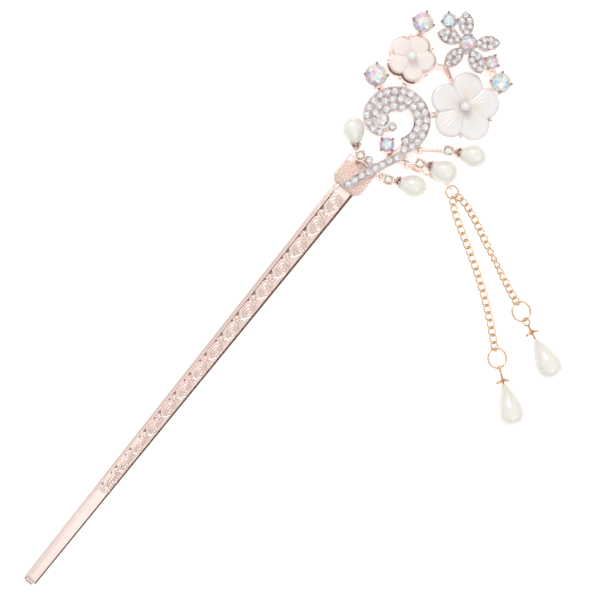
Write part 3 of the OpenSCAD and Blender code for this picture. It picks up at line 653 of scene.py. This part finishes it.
def glass_with_painted_facets(name, metallic):
    """Painted facet reflections from the mesh, broken up by painted glints from a fine speckle, under a clear
    polished surface.
    """
    made = bpy.data.materials.new(name)
    made.use_nodes = True
    nodes, links = made.node_tree.nodes, made.node_tree.links
    paint = nodes["Principled BSDF"]
    facet = nodes.new("ShaderNodeAttribute")
    facet.attribute_name = "facet"
    place = nodes.new("ShaderNodeTexCoord")
    # Painted glints: a fine speckle brightens and darkens the facet colours.
    painted_glint = nodes.new("ShaderNodeTexVoronoi")
    painted_glint.inputs["Scale"].default_value = 2600
    range_of = nodes.new("ShaderNodeMapRange")
    range_of.inputs["To Min"].default_value = 0.72
    range_of.inputs["To Max"].default_value = 1.12
    mixed = nodes.new("ShaderNodeMix")
    mixed.data_type = "RGBA"
    mixed.blend_type = "MULTIPLY"
    mixed.inputs["Factor"].default_value = 1
    links.new(place.outputs["Object"], painted_glint.inputs["Vector"])
    links.new(painted_glint.outputs["Color"], range_of.inputs["Value"])
    links.new(facet.outputs["Color"], mixed.inputs["A"])
    links.new(range_of.outputs["Result"], mixed.inputs["B"])
    links.new(mixed.outputs["Result"], paint.inputs["Base Color"])
    paint.inputs["Metallic"].default_value = metallic
    paint.inputs["Roughness"].default_value = 0.09
    paint.inputs["Coat Weight"].default_value = 1
    paint.inputs["Coat Roughness"].default_value = 0.02
    return made


clear_glass = glass_with_painted_facets("clear glass with painted facet reflections", 0.3)
# Painted reflections: bright, grey and dark tones for the facets of each ring; the lowest ring is a dark
# painted rim.
CLEAR_FACET_REFLECTIONS = [
    [(1, 1, 1), (0.8, 0.81, 0.86), (1, 1, 1), (0.9, 0.9, 0.94), (0.66, 0.66, 0.72)],
    [(1, 1, 1), (0.84, 0.84, 0.88), (1, 1, 1), (0.92, 0.9, 0.92)],
    [(0.92, 0.91, 0.93), (1, 1, 1), (0.72, 0.7, 0.72), (1, 1, 1), (0.5, 0.47, 0.48)],
    [(0.3, 0.28, 0.28)]]
swirl_glass = set_stones("swirl_cut_stones", swirl_stones, CLEAR_FACET_REFLECTIONS, clear_glass, 1)
hand_over(swirl_glass, "pin", "clear_stone", "swirl_stones")
stem_glass = set_stones("stem_cut_stones", stem_stones, CLEAR_FACET_REFLECTIONS, clear_glass, 4)
hand_over(stem_glass, "pin", "clear_stone", "stem_stones")

# ---- stone-set flower ----
# Five cast leaves about a hub cup, six small stones in each, with bead claws along the leaf's edges.
LEAF_CLAW_SUNK = 0.12
leaf_stones = stones_in("pave_flower_stones")
flower_metal = copy_of("pave_flower_setting", "leaf_flower_body")
flower_metal.data.materials.append(silver_edge)
leaf_claws = []
leaf_held = [s[0] / MM for s in leaf_stones]
for i, a in enumerate(leaf_held):
    for b in leaf_held[i + 1:]:
        gap = b - a
        if gap.length < 1.95:
            side = Vector((-gap.y, gap.x, 0)).normalized()
            for s in (-0.55, 0.55):
                spot = (a + b) / 2 + side * s
                clear = min((c - spot).length for c in leaf_held)
                if clear > 0.7 and all((Vector(c) - spot).length > 0.36 for c in leaf_claws):
                    leaf_claws.append(tuple(spot + Vector((0, 0, -LEAF_CLAW_SUNK))))
leaf_claw_piece = beads("leaf_claws", leaf_claws, 0.21, silver_edge)
leaf_flower = join("leaf_flower_setting", [flower_metal, leaf_claw_piece])
hand_over(leaf_flower, "pin", "rose_gold", "pave_flower_setting")
leaf_glass = set_stones("leaf_cut_stones", leaf_stones, CLEAR_FACET_REFLECTIONS, clear_glass, 2)
hand_over(leaf_glass, "pin", "clear_stone", "pave_flower_stones")

# ---- coated crystals in their cups ----
# Larger cut glass with a rainbow coating: each facet's coloured flash from the coating is painted into its
# colour, with white and dark painted reflections among them.
# Each sits in a cast cup with four round claws bent over its girdle.
rainbow_glass = glass_with_painted_facets("rainbow coated glass with painted reflections", 0.1)
# The coating's colours as painted reflections: ICE is a painted white flash, DARK a painted dark reflection.
PINK, ROSE, LILAC = (1, 0.74, 0.86), (0.96, 0.52, 0.76), (0.82, 0.74, 1)
BLUE, CYAN, GREEN = (0.58, 0.7, 1), (0.62, 0.92, 0.98), (0.74, 0.97, 0.8)
LEMON, ICE, DARK = (1, 0.98, 0.76), (1, 1, 1), (0.66, 0.62, 0.74)
COATED = [
    ("top_left", "top_left_crystal", [
        [BLUE, ICE, PINK, GREEN, ICE, LEMON], [PINK, ICE, LILAC, GREEN], [LEMON, BLUE, ICE, DARK, PINK]]),
    ("top", "top_crystal", [
        [ICE, CYAN, GREEN, ICE], [ICE, LEMON, CYAN], [BLUE, ICE, DARK, GREEN]]),
    ("left", "left_crystal", [
        [PINK, ICE, LEMON, LILAC, ICE, CYAN], [LILAC, ICE, LEMON, PINK], [PINK, LEMON, DARK, ICE, LILAC]]),
    ("right_small", "right_small_crystal", [
        [GREEN, ICE, ROSE, CYAN], [ROSE, ICE, GREEN], [PINK, DARK, GREEN, ICE]]),
    ("right_large", "right_large_crystal", [
        [CYAN, ICE, BLUE, LEMON, ICE, GREEN], [BLUE, ICE, CYAN, LEMON], [LEMON, CYAN, ICE, DARK]]),
    ("swirl", "swirl_crystal", [
        [CYAN, ICE, GREEN, BLUE], [BLUE, CYAN, LILAC, ICE], [ROSE, PINK, DARK, LILAC]]),
    ("hub", "flower_hub_crystal", [
        [GREEN, CYAN, ICE, ROSE, LEMON], [ROSE, ICE, CYAN, GREEN], [PINK, LEMON, DARK, CYAN]]),
]
for number, (name, node, tints_and_reflections) in enumerate(COATED):
    crystal = set_stones(f"{name}_cut_crystal", stones_in(node), [*tints_and_reflections, [DARK]], rainbow_glass, number)
    hand_over(crystal, "pin", "opal_crystal", node)
claw_metal = surface("worn claw tips", (0.62, 0.48, 0.44), (0.4, 0.3, 0.27), 0.15, 0.35, metallic=1)
CLAW_TURN = {"top_left": 20, "top": 45, "left": 35, "right_small": 10, "right_large": 30, "swirl": 80}
for name, turn in CLAW_TURN.items():
    node = f"{name}_cup"
    cup = copy_of(node, f"{node}_casting", angle=40)
    cup.data.materials.append(rose_plate)
    table, _, size = stones_in(f"{name}_crystal")[0]
    reach = size / 2 / MM + 0.22
    tips = [(table.x / MM + reach * cos(radians(angle)), table.y / MM + reach * sin(radians(angle)),
             table.z / MM - 0.05) for angle in range(turn, turn + 360, 90)]
    tip_piece = beads(f"{name}_claw_tips", tips, 0.36, claw_metal)
    cup = join(f"{name}_cup_casting", [cup, tip_piece])
    hand_over(cup, "pin", "rose_gold", node)

# ---- shell flowers ----
# Mother-of-pearl discs carved into five round petals with fine grooves fanning from the middle.
# Each is pinned through its middle, under a round bead, onto a scalloped or clawed metal tray.
PETAL_R, PETAL_AT = 0.44, 0.56


def petal_reach(angle):
    """Outline of the five petals at an angle, for an outer radius of 1."""
    off = (angle + pi / 5) % (2 * pi / 5) - pi / 5
    return PETAL_AT * cos(off) + sqrt(max(PETAL_R ** 2 - (PETAL_AT * sin(off)) ** 2, 0))


def carved_flower(name, centre, turn, radius, low, high, material, grooves, parting):
    """A disc drawn in ring by ring to the middle, then carved; millimetres and degrees.

    grooves is the depth of the fanning grooves, parting that of the cuts between the petals.
    """
    sides, rings = 240, 26
    bpy.ops.object.select_all(action="DESELECT")
    bpy.ops.mesh.primitive_circle_add(vertices=sides, radius=1, fill_type="NOTHING")
    flower = bpy.context.object
    bpy.ops.object.mode_set(mode="EDIT")
    bpy.ops.mesh.select_all(action="SELECT")
    bpy.ops.mesh.extrude_region_move(TRANSFORM_OT_translate={"value": (0, 0, 1)})
    for ring in range(rings):
        left = 1 - (ring + 1) / (rings + 0.3)
        before = 1 - ring / (rings + 0.3)
        bpy.ops.mesh.extrude_region_move(TRANSFORM_OT_translate={"value": (0, 0, 0)})
        bpy.ops.transform.resize(value=(left / before, left / before, 1))
    bpy.ops.mesh.edge_face_add()
    bpy.ops.mesh.select_all(action="DESELECT")
    shape = bmesh.from_edit_mesh(flower.data)
    for edge in shape.edges:
        edge.select = all(v.co.z < 0.5 for v in edge.verts)
    bpy.ops.mesh.edge_face_add()
    bpy.ops.object.mode_set(mode="OBJECT")
    relief = min(high - low, 1)
    carving = flower.data.color_attributes.new("carving", "FLOAT_COLOR", "POINT")
    for point in flower.data.vertices:
        out, angle = hypot(point.co.x, point.co.y), atan2(point.co.y, point.co.x)
        off = (angle + pi / 5) % (2 * pi / 5) - pi / 5
        petal = round((angle - off) / (2 * pi / 5))
        edge = petal_reach(angle)
        reach = out * edge * radius
        if point.co.z < 0.5:
            z, reach = low, reach * 0.97
        else:
            side = off / (pi / 5)
            cup = (0.2 + 0.5 * parting) * (1 - abs(side) ** 2.4) * sin(pi * min(out * 0.62 + 0.16, 1))
            notch = -parting * exp(-((abs(side) - 1) / 0.08) ** 2) * min(out * 1.6, 1)
            lap = 0.14 * side * min(out * 1.5, 1)
            comb = (0.5 + 0.5 * cos(off * 34 + sin(3 * petal))) ** 2
            reach_in = max(0.86 - 0.5 * side * side - out, 0) ** 0.6 * min(out * 6, 1)
            groove = -grooves * comb * reach_in
            carving.data[point.index].color = (min(comb * reach_in * 1.5, 1),) * 3 + (1,)
            ripple = 0.05 * noise.noise(Vector((cos(angle) * out * 4, sin(angle) * out * 4, petal)))
            middle = -0.25 * exp(-(out / 0.16) ** 2)
            lip = -0.75 * max((out - 0.9) / 0.1, 0) ** 2
            carved = cup + notch * 0.6 + lap + groove + ripple + middle + lip * 0.7
            z = high - 0.62 * relief + relief * carved
            z = min(z, high + 0.12)
        angle += radians(turn)
        point.co = (
            (centre[0] + reach * cos(angle)) * MM, (centre[1] + reach * sin(angle)) * MM, z * MM)
    flower.name = name
    finish_mesh(flower, 50)
    flower.data.materials.append(material)
    return flower


def shell_material(name, base, tint, warm, warmth):
    """Nacre: soft clouds of two tints, with a warmer colour down in the carved grooves."""
    made = surface(name, base, tint, 0.14, 0.26, coat=0.6, cloud=240, mark=900)
    nodes, links = made.node_tree.nodes, made.node_tree.links
    paint = nodes["Principled BSDF"]
    carved = nodes.new("ShaderNodeAttribute")
    carved.attribute_name = "carving"
    depth = nodes.new("ShaderNodeMath")
    depth.operation = "MULTIPLY"
    depth.inputs[1].default_value = warmth
    warmed = nodes.new("ShaderNodeMix")
    warmed.data_type = "RGBA"
    warmed.inputs["B"].default_value = (*warm, 1)
    links.new(carved.outputs["Fac"], depth.inputs[0])
    links.new(depth.outputs["Value"], warmed.inputs["Factor"])
    links.new(nodes["polish"].outputs["Color"], warmed.inputs["A"])
    links.new(warmed.outputs["Result"], paint.inputs["Base Color"])
    paint.inputs["Subsurface Weight"].default_value = 0.3
    paint.inputs["Subsurface Radius"].default_value = (1.0, 0.7, 0.5)
    paint.inputs["Subsurface Scale"].default_value = 0.6 * MM
    return made


pink_shell = shell_material("pink shell", (1, 0.86, 0.83), (0.98, 0.9, 0.86), (1, 0.84, 0.8), 0.5)
white_shell = shell_material("white shell", (0.9, 0.91, 0.93), (0.93, 0.88, 0.86), (0.96, 0.83, 0.66), 0.8)
SMALL_AT, LARGE_AT = (-7.2, 32.1), (10.9, 30.6)
small_flower = carved_flower("pink_shell_flower", SMALL_AT, 25.75, 5.9, 2.3, 5.3, pink_shell, 0.05, 0.07)
hand_over(small_flower, "pin", "pink_shell", "small_shell_flower")
large_flower = carved_flower("white_shell_flower", LARGE_AT, 48.75, 8.9, 4.1, 5.5, white_shell, 0.3, 0.3)
hand_over(large_flower, "pin", "white_shell", "large_shell_flower")
for node in ("small_flower_tray", "large_flower_tray"):
    tray = copy_of(node, f"{node}_casting", angle=40)
    tray.data.materials.append(rose_plate)
    hand_over(tray, "pin", "rose_gold", node)

pearl_coat = surface(
    "pearl", (0.96, 0.95, 0.89), (0.93, 0.92, 0.84), 0.14, 0.22, coat=0.9, cloud=160, mark=1200)
bead_coat = surface(
    "white bead", (0.98, 0.97, 0.96), (0.95, 0.94, 0.92), 0.1, 0.18, coat=1, cloud=160, mark=1200)
for coat, glow in ((pearl_coat, 0.4), (bead_coat, 0.2)):
    pearl_paint = coat.node_tree.nodes["Principled BSDF"]
    pearl_paint.inputs["Subsurface Weight"].default_value = glow
    pearl_paint.inputs["Subsurface Radius"].default_value = (0.9, 0.85, 0.55)
    pearl_paint.inputs["Subsurface Scale"].default_value = 1.2 * MM
for node, at in (("small_flower_bead", SMALL_AT), ("large_flower_bead", LARGE_AT)):
    low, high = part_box(node)
    bead = (high.x - low.x) / 2 / MM
    stud = beads(f"{node}_ball", [(at[0], at[1], high.z / MM - bead)], bead, bead_coat, rings=4)
    for point in stud.data.vertices:
        point.co.z = max(point.co.z, low.z)
    hand_over(stud, "pin", "pearl", node)

# ---- pearls on their branches ----
# Imitation pearl drops, glued on pegs at the tips of four small cast branches.
# A claw cap grips each tip, and a small yellow or clear stone sits in a cup at the foot.


def drop_profile(u, lean, full):
    """Half-outline of a pearl drop from its tip: lean moves the belly back, full fattens the tip."""
    return sin(pi * u ** lean) ** full if 0 < u < 1 else 0.0


def drop_axis(node):
    """Tip, direction and length of a pearl drop, found from its own solid; metres."""
    cloud = np.array([v.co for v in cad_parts[node].data.vertices])
    cloud = np.unique(np.round(cloud, 7), axis=0)
    centre = cloud.mean(0)
    _, _, ways = np.linalg.svd(cloud - centre, full_matrices=False)
    way = ways[0]
    along = (cloud - centre) @ way
    off = np.linalg.norm((cloud - centre) - np.outer(along, way), axis=1)
    if along[off.argmax()] < (along.min() + along.max()) / 2:
        way, along = -way, -along
    return Vector(centre + way * along.min()), Vector(way), along.max() - along.min(), 2 * off.max()


def axis_frame(tip, way):
    """Turns +Z to the direction and +X as near to straight down as it goes."""
    down = (Vector((0, 0, -1)) - way * way.dot(Vector((0, 0, -1)))).normalized()
    return Matrix.Translation(tip) @ Matrix((down, way.cross(down), way)).transposed().to_4x4()


def pearl_drop(name, node, lean, full):
    """A ball drawn out over the length of the drop in the node."""
    tip, way, length, width = drop_axis(node)
    bpy.ops.object.select_all(action="DESELECT")
    bpy.ops.mesh.primitive_uv_sphere_add(segments=64, ring_count=48, radius=1)
    pearl = bpy.context.object
    for point in pearl.data.vertices:
        u = (1 - cos(pi * (0.5 + point.co.z / 2))) / 2
        angle = atan2(point.co.y, point.co.x)
        reach = width / 2 * drop_profile(u, lean, full)
        point.co = (reach * cos(angle), reach * sin(angle), u * length)
    pearl.data.transform(axis_frame(tip, way))
    pearl.name = name
    finish_mesh(pearl, 180)
    pearl.data.materials.append(pearl_coat)
    return pearl


STAR_ARMS = 5


def claw_star(name, place, reach, height_at, thick, material):
    """A five-pointed star pressed over a tip: height_at gives its height at each radius; metres."""
    sides, rings = STAR_ARMS * 12, 10
    bpy.ops.object.select_all(action="DESELECT")
    bpy.ops.mesh.primitive_circle_add(vertices=sides, radius=1, fill_type="NGON")
    star = bpy.context.object
    bpy.ops.object.mode_set(mode="EDIT")
    bpy.ops.mesh.select_all(action="SELECT")
    for ring in range(rings):
        bpy.ops.mesh.extrude_region_move(TRANSFORM_OT_translate={"value": (0, 0, 0)})
        scale = (1 - (ring + 1) / (rings + 0.5)) / (1 - ring / (rings + 0.5))
        bpy.ops.transform.resize(value=(scale, scale, 1))
    bpy.ops.object.mode_set(mode="OBJECT")
    for point in star.data.vertices:
        out, angle = hypot(point.co.x, point.co.y), atan2(point.co.y, point.co.x)
        wave = abs((angle * STAR_ARMS / (2 * pi)) % 1 - 0.5) * 2
        edge = reach * (0.6 + 0.4 * wave ** 1.2)
        rho = out * edge
        point.co = (rho * cos(angle), rho * sin(angle), height_at(rho))
    only(star)
    wall = star.modifiers.new("wall", "SOLIDIFY")
    wall.thickness = thick
    wall.offset = 0
    bpy.ops.object.modifier_apply(modifier=wall.name)
    star.data.transform(place)
    star.name = name
    finish_mesh(star, 45)
    star.data.materials.append(material)
    return star


def on_drop(rho, length, width, clearance):
    """Height over the tip at which a drop reaches the radius rho."""
    low, high = 0.0, 0.6
    for _ in range(24):
        middle = (low + high) / 2
        if width / 2 * drop_profile(middle, BRANCH_LEAN, BRANCH_FULL) + clearance < rho:
            low = middle
        else:
            high = middle
    return low * length


yellow_glass = glass_with_painted_facets("yellow glass with painted facet reflections", 0.4)
# Yellow glass with painted reflections: pale, yellow and dark tones for the facets of each ring; the lowest
# ring is a dark painted rim.
YELLOW_FACET_REFLECTIONS = [
    [(1, 1, 0.8), (0.98, 0.93, 0.55), (1, 1, 1), (0.86, 0.84, 0.72)],
    [(1, 0.99, 0.8), (0.8, 0.74, 0.55), (1, 1, 0.95)],
    [(0.8, 0.76, 0.66), (1, 0.98, 0.86), (0.6, 0.52, 0.46), (0.96, 0.95, 0.9)],
    [(0.3, 0.25, 0.2)]]
BRANCH_LEAN, BRANCH_FULL = 1.4, 0.52
cap_gold = surface("pale gold caps", (1, 0.86, 0.72), (0.95, 0.76, 0.6), 0.25, 0.4)
for side in ("left", "upper", "middle", "lower"):
    node = f"branch_pearl_{side}"
    pearl = pearl_drop(f"{side}_pearl", node, BRANCH_LEAN, BRANCH_FULL)
    hand_over(pearl, "pin", "pearl", node)
    tip, way, length, width = drop_axis(node)
    place = axis_frame(tip, way)
    star = claw_star(
        f"{side}_claw_cap", place, 1.5 * MM,
        lambda rho: on_drop(rho, length, width, 0.16 * MM) - 0.1 * MM, 0.4 * MM, cap_gold)
    branch = copy_of(f"pearl_branch_{side}", f"{side}_branch_casting", angle=40)
    branch.data.materials.append(rose_plate)
    branch = join(f"{side}_branch", [branch, star])
    hand_over(branch, "pin", "rose_gold", f"pearl_branch_{side}")
branch_glass = set_stones("branch_cut_stones", stones_in("branch_crystals"), YELLOW_FACET_REFLECTIONS, yellow_glass, 3)
hand_over(branch_glass, "pin", "yellow_crystal", "branch_crystals")

# ---- chains ----
# Two curb chains of yellow-gold wire: each link is a closed oval of round wire with a quarter twist,
# so that the chain lies flat. They hang from one jump ring in the eye.
yellow_gold = surface("yellow gold wire", (0.86, 0.64, 0.45), (0.74, 0.52, 0.35), 0.12, 0.26, metallic=1)
LINK_FATTEN = 0.035
for side, groups in (("left", 7), ("right", 6)):
    for k in range(1, groups + 1):
        node = f"{side}_chain_{k}"
        links = copy_of(node, f"{node}_links", fatten=LINK_FATTEN, smooth=2)
        links.data.materials.append(yellow_gold)
        hand_over(links, node, "gold", node)
for node in ("top_jump_ring", "left_end_ring", "right_end_ring"):
    ring = copy_of(node, f"{node}_wire", angle=60)
    ring.data.materials.append(yellow_gold)
    hand_over(ring, node, "gold", node)

# ---- pearl drops on the chains ----
# An eye pin of gold wire runs through a star cap into each pearl drop and is glued there.
# Its loop hangs in the end ring.
CAP_OVER_TIP = {"left": 1.2, "right": 2.3}
HANGING_LEAN, HANGING_FULL = 1.9, 0.36
STAR_REACH, STAR_THICK, STAR_FLARE = 1.95, 0.6, 0.5
for side, over in CAP_OVER_TIP.items():
    body = f"{side}_drop"
    pearl = pearl_drop(f"{side}_hanging_pearl", f"{side}_drop_pearl", HANGING_LEAN, HANGING_FULL)
    hand_over(pearl, body, "pearl", f"{side}_drop_pearl")
    pin = copy_of(f"{side}_eye_pin", f"{side}_eye_pin_wire", angle=60)
    pin.data.materials.append(yellow_gold)
    hand_over(pin, body, "gold", f"{side}_eye_pin")
    tip, way, _, _ = drop_axis(f"{side}_drop_pearl")
    place = axis_frame(tip - way * over * MM, way)
    cap = claw_star(
        f"{side}_star_cap", place, STAR_REACH * MM,
        lambda rho: 0.25 * MM + max(rho - 0.6 * MM, 0) * STAR_FLARE, STAR_THICK * MM, yellow_gold)
    collar_bead = beads(f"{side}_cap_boss", [(0, 0, 0.22)], 0.62, yellow_gold, rings=3)
    collar_bead.data.transform(place)
    cap = join(f"{side}_star_cap", [cap, collar_bead])
    hand_over(cap, body, "gold", f"{side}_bead_cap")
